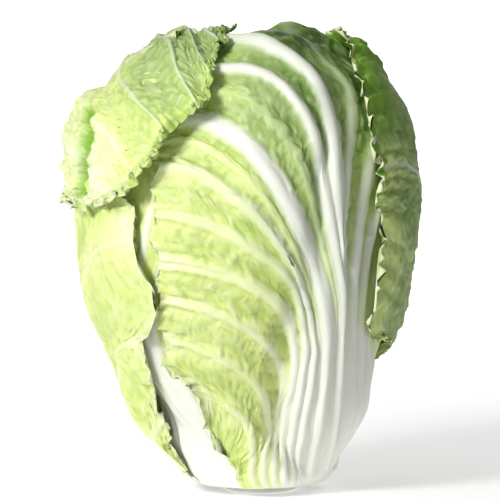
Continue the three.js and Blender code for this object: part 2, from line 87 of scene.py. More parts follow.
MARGIN_FOOT, HOOD_LEVEL = 21, 14
HEART_LEAVES, HEART_FOOT, HEART_MARGIN, HEART_ALLOWANCE = 5, 26, 34, 2.0
SPOTS, SPOT_RADIUS, SMOOTHING = 6000, 0.062, 0.085
NEIGHBOURHOOD, COVERED_NEIGHBOURHOOD, TIGHT_NEIGHBOURHOOD = 0.1, 0.17, 0.04
ROW_CLOSENESS = 1.2             # how much closer together a leaf's coarse rows lie towards its margin

# ---- small helpers ----


def mix(a, b, share):
    return a + (b - a) * share


def ease(start, end, x):
    t = np.clip((x - start) / (end - start), 0, 1)
    return t * t * (3 - 2 * t)


def draw(number):
    """A seeded draw from 0 to 1 for each number."""
    x = np.sin(np.asarray(number, float) * 12.9898 + 4.1) * 43758.5453
    return x - np.floor(x)


def ripple(x, seed):
    """Smooth noise from -1 to 1 along a line, with a bump or hollow about every unit of x."""
    cell = np.floor(x)
    t = ease(0, 1, x - cell)
    return mix(draw(cell + seed * 57.3), draw(cell + 1 + seed * 57.3), t) * 2 - 1


def cloud(points, size, seed):
    """Smooth noise from -1 to 1 in space, with lumps of about that size."""
    p = points / size + seed * 7.31
    cell = np.floor(p)
    t = ease(0, 1, p - cell)
    total = 0
    for corner in range(8):
        step = np.array([corner & 1, corner >> 1 & 1, corner >> 2 & 1])
        at = cell + step
        value = draw(at[..., 0] * 1.0 + at[..., 1] * 37.7 + at[..., 2] * 91.3 + seed)
        share = np.prod(np.where(step == 1, t, 1 - t), axis=-1)
        total = total + value * share
    return total * 2 - 1


def patches(u, v, seed):
    """Smooth noise from -1 to 1 over a surface, with a bump or hollow about every unit of u and of v."""
    i, j = np.floor(u), np.floor(v)
    s, t = ease(0, 1, u - i), ease(0, 1, v - j)

    def corner(across, down):
        return draw((i + across) * 17.3 + (j + down) * 101.9 + seed * 7.7)

    return mix(mix(corner(0, 0), corner(1, 0), s), mix(corner(0, 1), corner(1, 1), s), t) * 2 - 1


def through(rows, x):
    """A smooth curve through rows whose first column rises or falls: the other columns at x, last axis."""
    rows = np.asarray(rows, float)
    if rows[-1, 0] < rows[0, 0]:
        rows = rows[::-1]
    x = np.asarray(x, float)
    i = np.clip(np.searchsorted(rows[:, 0], x, side="right") - 1, 0, len(rows) - 2)
    a, b = rows[i], rows[i + 1]
    before, after = rows[np.maximum(i - 1, 0)], rows[np.minimum(i + 2, len(rows) - 1)]
    span = (b[..., 0] - a[..., 0])[..., None]
    t = np.clip((x[..., None] - a[..., :1]) / span, 0, 1)
    slope_a = (b - before)[..., 1:] / (b - before)[..., :1] * span
    slope_b = (after - a)[..., 1:] / (after - a)[..., :1] * span
    t2, t3 = t * t, t * t * t
    return (a[..., 1:] * (2 * t3 - 3 * t2 + 1) + slope_a * (t3 - 2 * t2 + t)
            + b[..., 1:] * (3 * t2 - 2 * t3) + slope_b * (t3 - t2))


def curve(rows, x):
    """The second column of the rows at x."""
    return through(rows, x)[..., 0]


def length_of(v):
    return np.linalg.norm(v, axis=-1)


def run_through(points):
    """How far each point lies from the first of its line, along the first axis."""
    steps = length_of(np.diff(points, axis=0))
    return np.concatenate([steps[:1] * 0, np.cumsum(steps, axis=0)])


def unit(v):
    return v / np.maximum(np.linalg.norm(v, axis=-1, keepdims=True), 1e-9)


# ---- directions from the middle of the head, and places above its core ----


def direction(polar, azimuth):
    p, a = np.radians(polar), np.radians(azimuth)
    p, a = np.broadcast_arrays(p, a)
    return np.stack([np.sin(p) * np.sin(a), -np.sin(p) * np.cos(a), -np.cos(p)], axis=-1)


def place(toward, height):
    polar = np.degrees(np.arccos(np.clip(-toward[..., 2], -1, 1)))
    azimuth = np.arctan2(toward[..., 0], -toward[..., 1])
    core = through(CORE, np.maximum(polar, CORE[0, 0]))
    radius, level, slope, spread = np.moveaxis(core, -1, 0)
    out = radius + spread * height * np.cos(np.radians(slope))
    z = level + spread * height * np.sin(np.radians(slope))
    return np.stack([out * np.sin(azimuth) + curve(LEAN, z), -out * np.cos(azimuth), z], axis=-1)


def spread_at(polar):
    return through(CORE, polar)[..., 3]


# ---- the growing head: how high the layers stand above the core, in every direction ----

_number = np.arange(SPOTS)
_level = -1 + (2 * _number + 1) / SPOTS
_around = _number * math.pi * (3 - math.sqrt(5))
_ring = np.sqrt(1 - _level ** 2)
spots = np.stack([_ring * np.cos(_around), _ring * np.sin(_around), _level], axis=-1).astype(np.float32)
stack = np.zeros(SPOTS, np.float32)


def highest_near(radius, heights=None):
    """The highest layer within a radius of each spot."""
    heights = stack if heights is None else heights
    raised = np.zeros(SPOTS, np.float32)
    for start in range(0, SPOTS, 500):
        own = spots[start:start + 500]
        low, high = np.searchsorted(spots[:, 2], [own[0, 2] - radius, own[-1, 2] + radius])
        near = own @ spots[low:high].T > math.cos(radius)
        raised[start:start + 500] = np.where(near, heights[low:high], 0).max(axis=1)
    return raised


def smooth_at(heights, toward):
    flat = toward.reshape(-1, 3).astype(np.float32)
    result = np.zeros(len(flat))
    for start in range(0, len(flat), 1500):
        away = np.arccos(np.clip(flat[start:start + 1500] @ spots.T, -1, 1))
        weight = np.where(away < SMOOTHING, 1 - away / SMOOTHING, 0) ** 2
        result[start:start + 1500] = (weight @ heights) / weight.sum(axis=1)
    return result.reshape(toward.shape[:-1])


def add_to_stack(toward, over):
    """Raises every spot that the laid leaf covers, sampling each of its cells closely."""
    steps = np.linspace(0, 1, 5)
    for i in steps:
        for j in steps:
            def blend(values, i=i, j=j):
                low = mix(values[:-1, :-1], values[:-1, 1:], j)
                return mix(low, mix(values[1:, :-1], values[1:, 1:], j), i)
            points = unit(blend(toward)).reshape(-1, 3).astype(np.float32)
            heights = blend(over).reshape(-1).astype(np.float32)
            near = points @ spots.T > math.cos(SPOT_RADIUS)
            np.maximum(stack, np.where(near, heights[:, None], 0).max(axis=0), out=stack)


# ---- one leaf ----


def by_side(pair, share, polar):
    """A width that differs on the left and on the right of the midrib."""
    return np.where(share < 0, *(curve(rows, polar) for rows in pair))


def margin_rows(points):
    points = np.asarray(points, float)
    length = np.concatenate([[0], np.cumsum(np.hypot(*np.diff(points, axis=0).T))])
    return np.column_stack([length / length[-1], points])


class Leaf:
    """A wrapper leaf: where it grows, its veins on each side of the midrib, and its margins."""

    twist, frill, flare, covered, stout, bare_below = 0.0, (0.6, 0.6), (0, 0), False, 1.0, None
    fan = stalk = (STALK_WIDTH, STALK_WIDTH)
    crest = hood = placed = midrib = None

    def __init__(self, name, azimuth, start, veins, rows, left=None, right=None, reach=1.0, lowest=0.0,
                 **own):
        self.name, self.azimuth, self.start, self.veins, self.rows = name, azimuth, start, veins, rows
        vars(self).update(own)
        ordinary = [[max(lowest, MARGIN_FOOT + (p - MARGIN_FOOT) * reach), s] for p, s in MARGIN]
        self.left = margin_rows(left or [[p, -s] for p, s in ordinary])
        self.right = margin_rows(right or ordinary)

    def midrib_side(self, polar):
        rows, share = (self.midrib, 1) if self.midrib else (TWIST_FADE, self.twist)
        return share * curve(rows, polar)

    def between_veins(self, share):
        count = np.where(share < 0, self.veins[0], self.veins[1])
        return 0.5 - 0.5 * np.cos(2 * math.pi * share * count)

    def toward(self, polar, side):
        low = direction(polar, self.azimuth + side)
        outward, sideways = direction(90, self.azimuth), direction(90, self.azimuth + 90)
        p, s = np.radians(polar)[..., None], np.radians(side)[..., None]
        up = np.array([0, 0, 1.0])
        high = outward * np.cos(s) * np.sin(p) + sideways * np.sin(s) - np.cos(s) * np.cos(p) * up
        return unit(mix(low, high, ease(84, 96, polar)[..., None]))

    def on_vein(self, share, along, ragged=0.0):
        """Where the veins run: share counts across the leaf and along runs from foot to margin."""
        share, along = np.broadcast_arrays(share, along)
        sign = np.where(share < 0, -1.0, 1.0)
        spread = np.abs(share)
        root, end, late = spread, 1 - (1 - spread) ** CROWDING, 0.0
        power = mix(mix(BEND[0], BEND[1], ease(0.2, 0.5, spread)), BEND[2], ease(0.45, 1, spread))
        if self.placed:
            left, right = (through(rows, spread * count) for rows, count in zip(self.placed, self.veins))
            root, end, late, power = np.moveaxis(np.where((share < 0)[..., None], left, right), -1, 0)
        edge = np.where((share < 0)[..., None], *(through(side, end) for side in (self.left, self.right)))
        end_polar, margin_side = edge[..., 0], edge[..., 1]
        end_side = margin_side * (1 + SCALLOP * self.between_veins(share) + ragged)
        lowest = ease(0.45, 1, spread)
        climb = 1 - (1 - along) ** mix(mix(CLIMB[0], CLIMB[1], ease(0.4, 0.7, spread)), CLIMB[2], lowest)
        bend = np.clip((along - late) / (1 - late), 0, 1) ** power
        polar = mix(self.start, end_polar, climb)
        away = end_side - sign * root * by_side(self.fan, share, end_polar) - self.midrib_side(end_polar)
        side = self.midrib_side(polar) + sign * root * by_side(self.fan, share, polar) + away * bend
        return polar, side, self.toward(polar, side)

    def off_midrib(self, polar, side):
        """0 on the midrib and 1 at the edge of the stalk."""
        beside = side - self.midrib_side(polar)
        return np.abs(beside) / by_side(self.stalk, beside, polar)

    def body(self, polar, side, steepness=0.7):
        """The thickness of blade and stalk together, without ribs."""
        full = curve(STALK_THICKNESS, polar)
        off = np.minimum(1, self.off_midrib(polar, side))
        return BLADE / spread_at(polar) + PETIOLE * self.stout * full * (1 - off ** 2) ** steepness

    def lift(self, share, along, polar, side, toward):
        which = np.where(share < 0, 0, 1)
        bay = np.floor(np.abs(share) * np.array(self.veins)[which])
        swell = self.between_veins(share) * mix(0.5, 1.2, draw(bay * 7 + which * 31 + self.azimuth))
        bare = ease(self.bare_below, self.bare_below - 20, polar) if self.bare_below else 1.0
        waved = np.array(self.frill)[which] * swell * ease(0.7, 1, along)
        flared = np.array(self.flare)[which] * ease(-0.1, 0.25, np.abs(share)) * ease(0.75, 1, along)
        height = bare * (waved + flared)
        if self.crest:
            at_polar, at_side, top, radius = self.crest
            away = np.hypot(polar - at_polar, (side - at_side) * 0.6)
            height = height + top * ease(radius, 0, away) * ease(0.72, 1, along)
        if self.hood:
            height = height + self.hood_lift(side, toward)
        return height

    def hood_lift(self, side, toward):
        h = self.hood
        z = place(toward, HOOD_LEVEL)[..., 2]
        fold = ease(h["crease"] - h["rise"], h["crease"], z) * (1 - ease(h["bulge_at"], h["ends"], z))
        bulge = ease(h["bulge_span"], 0, np.abs(z - h["bulge_at"])) * ease(70, 30, side)
        return ease(h["from"], h["to"], side) * (h["height"] * fold + h["bulge"] * bulge)

    def lay(self):
        """Lays the leaf on the stack at its coarse grid, keeps where it lies, and raises the stack."""
        shares = np.concatenate([np.arange(-2 * self.veins[0], 0) / (2 * self.veins[0]),
                                 np.arange(0, 2 * self.veins[1] + 1) / (2 * self.veins[1])])
        along = 1 - (1 - np.arange(self.rows + 1) / self.rows) ** ROW_CLOSENESS
        share, along = np.meshgrid(shares, along)
        polar, side, toward = self.on_vein(share, along)
        ground = highest_near(COVERED_NEIGHBOURHOOD if self.covered else NEIGHBOURHOOD)
        air = COVERED_GAP if self.covered else LAYER_GAP
        gap = air / spread_at(polar) + FOOT_GAP * (1 - ease(20, 30, polar))
        self.ground = smooth_at(ground, toward) + gap
        closest = smooth_at(highest_near(TIGHT_NEIGHBOURHOOD), toward) + 0.5 + gap / 3
        self.tight = np.minimum(self.ground, closest)
        ridge = (1 - self.between_veins(share)) * mix(1, 0.35, along) * ease(0, 0.08, along)
        over = self.ground + self.lift(share, along, polar, side, toward) + self.body(polar, side)
        add_to_stack(toward, over + VEIN * self.stout * ridge)

    def ground_at(self, share, along):
        """The height that the leaf lies at between its coarse grid's points. Its margin lies closest."""
        row = self.rows * (1 - (1 - along) ** (1 / ROW_CLOSENESS))
        column = np.where(share < 0, 2 * self.veins[0] * (1 + share),
                          2 * self.veins[0] + 2 * self.veins[1] * share)
        ground, tight = (between_grid(grid, row, column) for grid in (self.ground, self.tight))
        return mix(ground, tight, ease(0.78, 0.97, along))


def between_grid(grid, row, column):
    """A smooth surface through a grid of values."""
    def weights(t):
        t2, t3 = t * t, t * t * t
        return [(-t3 + 2 * t2 - t) / 2, (3 * t3 - 5 * t2 + 2) / 2, (-3 * t3 + 4 * t2 + t) / 2, (t3 - t2) / 2]
    rows, columns = grid.shape
    i = np.clip(np.floor(row).astype(int), 0, rows - 2)
    j = np.clip(np.floor(column).astype(int), 0, columns - 2)
    total = 0
    for m, wide in enumerate(weights(row - i)):
        for n, long in enumerate(weights(column - j)):
            point = np.clip(i + m - 1, 0, rows - 1), np.clip(j + n - 1, 0, columns - 1)
            total = total + wide * long * grid[point]
    return total


leaves = [
    Leaf("right_leaf", 120, 16, (7, 6), 18, twist=30, stout=0.5, frill=(1, 3), flare=(0, 0.5),
        crest=(154, -26, 7, 22), fan=(RIGHT_FAN_LEFT, STALK_WIDTH),
        left=[[150, 0], [151, -8], [154, -17], [158, -28], [162, -40], [160, -51], [150, -57], [138, -63],
            [120, -68], [104, -70], [88, -70], [76, -70], [66, -70], [61, -68], [59, -60], [58, -48],
            [56, -32], [52, -16], [46, -2], [36, 6], [28, 12], [21, 16]],
        right=[[150, 0], [151, 22], [146, 44], [128, 60], [102, 67], [76, 67], [56, 63], [41, 58], [29, 55],
            [21, 58]]),
    Leaf("left_leaf", -102.5, 16, (6, 7), 18, twist=-16, frill=(2.5, 2), flare=(0.5, 0.5),
        hood={"height": 9, "crease": 166, "rise": 12, "ends": 238, "from": -45, "to": -15,
            "bulge": 9, "bulge_at": 193, "bulge_span": 23},
        left=[[178, 0], [176, -24], [166, -44], [145, -60], [112, -67], [82, -67], [58, -62], [42, -57],
            [30, -54], [21, -56]],
        right=[[178, 0], [180, 20], [181, 42], [177, 57], [158, 66], [132, 70], [108, 65], [98, 61], [89, 63],
            [80, 64], [71, 68], [63, 67], [58, 60], [53, 56], [47, 52], [42, 48], [35, 44], [26, 36],
            [21, 37]]),
    Leaf("front_leaf", 30, 16, (11, 6), 21, frill=(5, 0.6), flare=(2, 0), bare_below=112, stout=1.7,
        midrib=FRONT_MIDRIB, fan=FRONT_FAN, stalk=FRONT_STALK, placed=FRONT_VEINS,
        left=[[172, -22], [169, -31], [162, -41], [149, -48], [134, -53], [118, -57], [98, -58], [84, -57],
            [76, -55], [66, -56], [58, -58], [52, -57], [47, -52], [41, -50], [35, -52], [29, -51],
            [25, -42]],
        right=[[172, -22], [176, -4], [171, 16], [160, 34], [140, 50], [115, 58], [90, 61], [65, 62],
            [45, 70], [30, 82], [21, 88]]),
    Leaf("back_leaf", 172.5, 15, (5, 5), 16, covered=True, stout=0.85, reach=1.08, frill=(1, 1)),
    Leaf("inner_leaf_1", -50, 15.5, (5, 5), 15, covered=True, stout=0.85, frill=(0.8, 0.8)),
    Leaf("inner_leaf_2", 80, 17, (5, 5), 17, covered=True, stout=1),
    Leaf("inner_leaf_3", -135, 18, (4, 4), 15, covered=True, stout=0.5),
    Leaf("inner_leaf_4", 2.5, 19, (5, 5), 17, covered=True, stout=0.5, reach=0.97, frill=(0.5, 0.5)),
]


# ---- meshes ----


def normals_of(grid):
    down = np.gradient(grid, axis=0)
    across = np.gradient(grid, axis=1)
    return unit(np.cross(across, down))


def new_object(name, data):
    made = bpy.data.objects.new(name, data)
    bpy.context.scene.collection.objects.link(made)
    return made


def store(mesh, key, values):
    """Keeps a number or a vector for each point of a mesh."""
    kind, field = ("FLOAT", "value") if values.shape[1] == 1 else ("FLOAT_VECTOR", "vector")
    layer = mesh.attributes.new(key, kind, "POINT")
    layer.data.foreach_set(field, values.astype(np.float32).ravel())


def closed_sheet(name, upper, under, values, step=STEP):
    """A closed sheet: a fine upper side, an under side with every step-th point, and a rim between."""
    rows, columns = upper.shape[:2]
    coarse = under[::step, ::step]
    low_rows, low_columns = coarse.shape[:2]
    points = np.concatenate([upper.reshape(-1, 3), coarse.reshape(-1, 3)]) * MM
    top = np.arange(rows * columns).reshape(rows, columns)
    low = rows * columns + np.arange(low_rows * low_columns).reshape(low_rows, low_columns)
    fine_quads = [top[:-1, :-1], top[:-1, 1:], top[1:, 1:], top[1:, :-1]]
    low_quads = [low[:-1, :-1], low[1:, :-1], low[1:, 1:], low[:-1, 1:]]
    quads = np.concatenate([np.stack(corners, axis=-1).reshape(-1, 4) for corners in (fine_quads, low_quads)])
    rim, half = [], step // 2
    for fine, rough in ((top[0], low[0]), (top[:, -1], low[:, -1]), (top[-1, ::-1], low[-1, ::-1]),
                        (top[::-1, 0], low[::-1, 0])):
        for k in range(len(rough) - 1):
            run = fine[k * step:(k + 1) * step + 1]
            rim += [(rough[k], run[i + 1], run[i]) for i in range(half)]
            rim.append((rough[k], rough[k + 1], run[half]))
            rim += [(rough[k + 1], run[i + 1], run[i]) for i in range(half, step)]
    rim = np.array(rim)
    mesh = bpy.data.meshes.new(name)
    mesh.vertices.add(len(points))
    mesh.vertices.foreach_set("co", points.astype(np.float32).ravel())
    mesh.loops.add(quads.size + rim.size)
    mesh.loops.foreach_set("vertex_index", np.concatenate([quads.ravel(), rim.ravel()]).astype(np.int32))
    mesh.polygons.add(len(quads) + len(rim))
    starts = np.concatenate([np.arange(len(quads)) * 4, quads.size + np.arange(len(rim)) * 3])
    mesh.polygons.foreach_set("loop_start", starts.astype(np.int32))
    mesh.update(calc_edges=True)
    mesh.validate()
    mesh.shade_smooth()
    for key, value in values.items():
        coarse_value = value[::step, ::step].reshape(low.size, -1)
        store(mesh, key, np.concatenate([value.reshape(top.size, -1), coarse_value]))
    store(mesh, "skin", np.repeat([1.0, 0.0], [top.size, low.size])[:, None])
    return new_object(name, mesh)


def closed_round(name, rings, values):
    """A closed round body from rings of points, the lowest first, with a middle point at each end."""
    rows, columns = rings.shape[:2]
    points = np.concatenate([rings.reshape(-1, 3), [rings[0].mean(axis=0)], [rings[-1].mean(axis=0)]]) * MM
    at = np.arange(rows * columns).reshape(rows, columns)
    after = np.roll(at, -1, axis=1)
    faces = np.stack([at[:-1], after[:-1], after[1:], at[1:]], axis=-1).reshape(-1, 4).tolist()
    faces += [(rows * columns, b, a) for a, b in zip(at[0], after[0])]
    faces += [(rows * columns + 1, a, b) for a, b in zip(at[-1], after[-1])]
    mesh = bpy.data.meshes.new(name)
    mesh.from_pydata(points.tolist(), [], faces)
    mesh.shade_smooth()
    for key, value in values.items():
        flat = value.reshape(rows * columns, -1)
        ends = [flat[:columns].mean(axis=0)[None], flat[-columns:].mean(axis=0)[None]]
        store(mesh, key, np.concatenate([flat, *ends]))
    return new_object(name, mesh)


# ---- shader expressions ----


class Socket:
    """An output of a shader or geometry node, on which sums are written as Python sums."""

    def __init__(self, tree, socket):
        self.tree, self.socket = tree, socket

    def maths(self, operation, *others):
        return operated(self.tree, operation, self, *others)

    def __add__(self, other):
        return self.maths("ADD", other)

    def __sub__(self, other):
        return self.maths("SUBTRACT", other)

    def __mul__(self, other):
        return self.maths("MULTIPLY", other)

    def __truediv__(self, other):
        return self.maths("DIVIDE", other)

    def __rsub__(self, other):
        return operated(self.tree, "SUBTRACT", other, self)

    def __rtruediv__(self, other):
        return operated(self.tree, "DIVIDE", other, self)

    __radd__ = __add__
    __rmul__ = __mul__

    def clamped(self):
        return self.maths("MINIMUM", 1.0).maths("MAXIMUM", 0.0)

    def eased(self, start, end):
        """From 0 at start to 1 at end, smoothly."""
        t = ((self - start) / (end - start)).clamped()
        return t * t * (3.0 - 2.0 * t)


def add_node(tree, kind, settings=(), out=0, **inputs):
    """A node of a kind: its settings first, then its sockets' values or links, by name or as _number."""
    node = tree.nodes.new(kind)
    for key, value in dict(settings).items():
        if key == "stops":
            ramp = node.color_ramp
            while len(ramp.elements) < len(value):
                ramp.elements.new(0.5)
            for element, (position, color) in zip(ramp.elements, value):
                element.position, element.color = position, (*color, 1.0)
        else:
            setattr(node, key, value)
    for key, value in inputs.items():
        socket = node.inputs[int(key[1:])] if key[0] == "_" else node.inputs[key.replace("_", " ")]
        if isinstance(value, Socket):
            tree.links.new(value.socket, socket)
        else:
            socket.default_value = value
    return Socket(tree, node.outputs[out]) if node.outputs else None


def operated(tree, operation, *values):
    given = {f"_{i}": value for i, value in enumerate(values)}
    return add_node(tree, "ShaderNodeMath", {"operation": operation}, **given)


def linear(red, green, blue):
    """A linear colour from a screen colour's values of 0 to 255."""
    def one(v):
        v /= 255
        return v / 12.92 if v <= 0.04045 else ((v + 0.055) / 1.055) ** 2.4
    return one(red), one(green), one(blue)


def tinted(tree, share, a, b):
    """Colour a where share is 0 and b where it is 1."""
    a = a if isinstance(a, Socket) else (*a, 1.0)
    b = b if isinstance(b, Socket) else (*b, 1.0)
    return add_node(tree, "ShaderNodeMix", {"data_type": "RGBA"}, out=2, _0=share, _6=a, _7=b)


RIB_WHITE, RIB_GREEN = linear(240, 241, 234), linear(212, 222, 190)
BLADE_TONES = [(0.0, linear(243, 248, 205)), (0.2, linear(232, 243, 160)), (0.4, linear(204, 224, 132)),
               (0.6, linear(172, 196, 124)), (0.8, linear(132, 164, 88)), (1.0, linear(62, 98, 24))]


def leaf_finish(name):
    """White ribs and a puckered blade whose green deepens with the tone that the leaf carries, with painted
    shade: a darker green multiplied in the valleys between puckers and in the grooves, bays and hollows that
    the leaf marks as shaded.
    """
    material = bpy.data.materials.new(name)
    material.use_nodes = True
    tree = material.node_tree
    tree.nodes.clear()

    def node(kind, settings=(), **inputs):
        return add_node(tree, "ShaderNode" + kind, settings, **inputs)

    rib, tone, edge, net, puff, deep, fresh = (
        node("Attribute", {"attribute_name": key}, out=2)
        for key in ("rib", "tone", "edge", "net", "puff", "deep", "fresh"))
    lay = node("Attribute", {"attribute_name": "lay"}, out=1)
    at = node("TexCoord", out=3)
    blotch = node("TexNoise", Vector=at, Scale=55.0, Detail=3.0, Roughness=0.6)
    grain = node("TexNoise", Vector=at, Scale=900.0, Detail=2.0, Roughness=0.5)
    fine = node("TexVoronoi", {"feature": "DISTANCE_TO_EDGE"}, Vector=at, Scale=520.0)
    streak = node("TexNoise", Vector=lay, Scale=1.0, Detail=2.0, Roughness=0.5)
    deeper = (tone + (blotch - 0.5) * 0.22 - edge * 0.12).clamped()
    blade = node("ValToRGB", {"stops": BLADE_TONES}, Fac=deeper)
    pale = tinted(tree, (tone * 0.9).clamped(), linear(236, 243, 190), linear(170, 196, 120))
    thread = 1.0 - fine.eased(0.0, 0.09)
    # painted shade: darker green in the valleys between puckers and where the leaf marks grooves, bays and
    # hollows as shaded
    shade = ((1.0 - puff) * 0.4 + deep * 0.6).clamped()
    shaded = node("Mix", {"data_type": "RGBA", "blend_type": "MULTIPLY"}, out=2, _0=shade, _6=blade,
                  _7=(*linear(196, 212, 128), 1.0))
    netted = tinted(tree, (net * 0.55 + thread * 0.16).clamped(), shaded, pale)
    ribbed = tinted(tree, (tone * 0.55 + (streak - 0.5) * 0.3).clamped(), RIB_WHITE, RIB_GREEN)
    color = tinted(tree, fresh, tinted(tree, rib, netted, ribbed), linear(112, 168, 14))
    height = rib * streak * 0.35 + (1.0 - rib) * (grain * 0.35 + fine.eased(0.0, 0.2) * 0.35)
    bump = node("Bump", Strength=0.35, Distance=0.0004, Height=height)
    rough = 0.44 + (blotch - 0.5) * 0.18 + (1.0 - rib) * 0.06
    shader = node("BsdfPrincipled", Base_Color=color, Roughness=rough, Normal=bump, Coat_Weight=0.08,
                  Coat_Roughness=0.3, Subsurface_Weight=0.08, Subsurface_Scale=0.003,
                  Subsurface_Radius=(0.9, 1.0, 0.35), IOR=1.42)
    node("OutputMaterial", Surface=shader)
    return material


# ---- the blade's puckers, on every leaf ----


def puckering():
    """Puffs a leaf's blade out between its small veins."""
    tree = bpy.data.node_groups.new("puckered_blade", "GeometryNodeTree")
    tree.interface.new_socket("Geometry", in_out="OUTPUT", socket_type="NodeSocketGeometry")
    tree.interface.new_socket("Geometry", in_out="INPUT", socket_type="NodeSocketGeometry")
    for key, kind in (("Pucker Height", "Float"), ("Pucker Size", "Float"), ("Swell Height", "Float"),
                      ("Swell Size", "Float"), ("Offset", "Vector"), ("Seed", "Int"), ("Finish", "Material")):
        tree.interface.new_socket(key, in_out="INPUT", socket_type="NodeSocket" + kind)
    given = tree.nodes.new("NodeGroupInput")

    def size(key):
        return Socket(tree, given.outputs[key])

    def geometry(kind, settings=(), **inputs):
        return add_node(tree, "GeometryNode" + kind, settings, **inputs)

    def shading(kind, settings=(), **inputs):
        return add_node(tree, "ShaderNode" + kind, settings, **inputs)

    def carried(key, kind="FLOAT"):
        return geometry("InputNamedAttribute", {"data_type": kind}, _0=key)

    def scaled(vector, by):
        return shading("VectorMath", {"operation": "SCALE"}, _0=vector, Scale=by)

    def added(a, b):
        return shading("VectorMath", {"operation": "ADD"}, _0=a, _1=b)

    at = geometry("InputPosition")
    cells_at = scaled(carried("weave", "FLOAT_VECTOR"), 1.0 / size("Pucker Size"))
    warp = shading("TexNoise", out=1, Vector=cells_at, Scale=0.45, Detail=1.0)
    warped = added(added(cells_at, scaled(warp, 1.3)), scaled(size("Offset"), size("Seed")))
    cell = shading("TexVoronoi", {"feature": "DISTANCE_TO_EDGE"}, Vector=warped, Scale=1.0)
    rise = (cell * 3.2).clamped()
    puff = 1.0 - (1.0 - rise) * (1.0 - rise)
    swells_at = scaled(at, 1.0 / size("Swell Size"))
    swell = shading("TexNoise", Vector=swells_at, Scale=1.0, Detail=2.0)
    blade = carried("blade")
    out = (puff - 0.6) * size("Pucker Height") * blade
    out = out + (swell - 0.5) * size("Swell Height") * (blade * 0.7 + 0.1)
    moved = geometry("SetPosition", Geometry=size("Geometry"),
                     Offset=scaled(carried("outward", "FLOAT_VECTOR"), out * carried("skin")))
    # keeps how far each point is puffed out, which the finish reads to paint shade in the valleys
    kept = geometry("StoreNamedAttribute", {"data_type": "FLOAT", "domain": "POINT"},
                    Geometry=moved, Name="puff", Value=1.0 - (1.0 - puff) * blade)
    real = geometry("RealizeInstances", Geometry=kept)
    finished = geometry("SetMaterial", Geometry=real, Material=size("Finish"))
    add_node(tree, "NodeGroupOutput", Geometry=finished)
    return tree


def shaped_by(piece, tree, **sizes):
    """Runs a tree on a piece and keeps the result as its plain mesh."""
    modifier = piece.modifiers.new(tree.name, "NODES")
    modifier.node_group = tree
    sockets = {item.name: item.identifier for item in tree.interface.items_tree if item.in_out == "INPUT"}
    for key, value in sizes.items():
        modifier[sockets[key.replace("_", " ")]] = value
    evaluated = piece.evaluated_get(bpy.context.evaluated_depsgraph_get())
    mesh = bpy.data.meshes.new_from_object(evaluated)
    piece.modifiers.clear()
    old = piece.data
    piece.data = mesh
    bpy.data.meshes.remove(old)
    mesh.name = piece.name
    mesh.shade_smooth()


blade_tree = puckering()
NOISE_OFFSET = (31.7, 17.3, 53.1)
SWELL_SIZE = 0.016


def work(piece, node, seed, pucker, swell):
    """Puckers a piece, finishes it and puts it in a node's place. Pucker and swell are height and size."""
    shaped_by(piece, blade_tree, Pucker_Height=pucker[0], Pucker_Size=pucker[1], Swell_Height=swell[0],
              Swell_Size=swell[1], Offset=NOISE_OFFSET, Seed=seed,
              Finish=leaf_finish(piece.name.replace("_fine", "_skin")))
    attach(piece, "root")
    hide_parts(node)


# ---- how each leaf's blade, ribs and margin are worked ----

NARROW = [[0, 1, 0.3, 0], [180, 1, 0.3, 0]]
SLANT = 2.2                     # how far a side vein runs along the leaf for each step it takes aside
LAY_LENGTH = 40                 # millimetres to a unit of the streaks in the ribs
RIB_FOOT = 1.9                  # how many half-widths from its middle a rib runs out
FINE_CLOSENESS = 1.6            # how much closer together the fine rows lie towards the margin
FINE_STEEPNESS = 1.6            # how softly a fine stalk runs out at its sides

# How a leaf is worked: fine columns a bay, fine rows, the ribs' half-width and their height, each at the
# foot and at the margin, the side veins' spacing and height, the ruffle's height and length, how strongly
# the blade puckers, the frill on each side (polar angle, width, wave height, curl), and how fresh a green
# the inside of the frill is.
Look = namedtuple("Look", "columns rows rib rise side ruffle pucker frill fresh",
                  defaults=((NARROW, NARROW), 0.2))
LOOKS = {
    "front_leaf": Look(16, 300, (3.6, 3.2), (3.0, 1.5), (15.0, 0.6), (2.2, 8.0), 1.0, (
        [[20, 1, 0.4, 0], [36, 4, 2.2, 30], [45, 5.5, 2.8, 35], [56, 4, 2, 20], [75, 2.5, 1.2, 10],
         [100, 1.5, 0.6, 0], [180, 1, 0.3, 0]], NARROW)),
    "left_leaf": Look(20, 280, (3.0, 1.3), (1.6, 0.8), (15.0, 0.5), (2.6, 8.0), 1.6, (
        [[20, 1, 0.4, 0], [60, 3, 1.5, 10], [120, 3, 1.5, 10], [180, 1, 0.3, 0]],
        [[20, 1, 0.3, 0], [30, 2.5, 0.7, -10], [50, 3.5, 1.1, -15], [66, 3.5, 1.1, -15], [86, 3, 0.9, -10],
         [100, 1, 0.4, 0], [180, 1, 0.3, 0]])),
    "right_leaf": Look(36, 160, (2.8, 1.0), (1.5, 0.7), (14.0, 0.5), (2.2, 13.0), 1.3, (
        [[21, 1, 0.3, 0], [45, 1.5, 0.6, 10], [62, 3, 1.5, 30], [91, 3.2, 1.6, 35], [108, 3, 0.8, 20],
         [120, 4.5, 1.5, 30], [134, 8, 2.4, 40], [146, 9, 3, 45], [156, 6, 2.4, 45], [160, 2.5, 1.2, 30]],
        [[20, 1, 0.4, 0], [60, 3, 1.5, 15], [160, 3, 1.5, 15]]), 0.9),
    "back_leaf": Look(16, 200, (2.8, 1.2), (1.3, 0.7), (15.0, 0.4), (1.2, 9.0), 1.3, (
        [[20, 1, 0.4, 0], [60, 3, 1.5, 15], [180, 2, 1, 10]],) * 2),
    "inner_leaf_1": Look(16, 200, (2.6, 0.7), (0.5, 0.5), (16.0, 0.3), (1.0, 9.0), 0.8),
}
for n in (2, 3, 4):
    LOOKS[f"inner_leaf_{n}"] = LOOKS["inner_leaf_1"]._replace(columns=12, rows=132, rise=(1.0, 0.5),
                                                              ruffle=(0.8, 9.0))

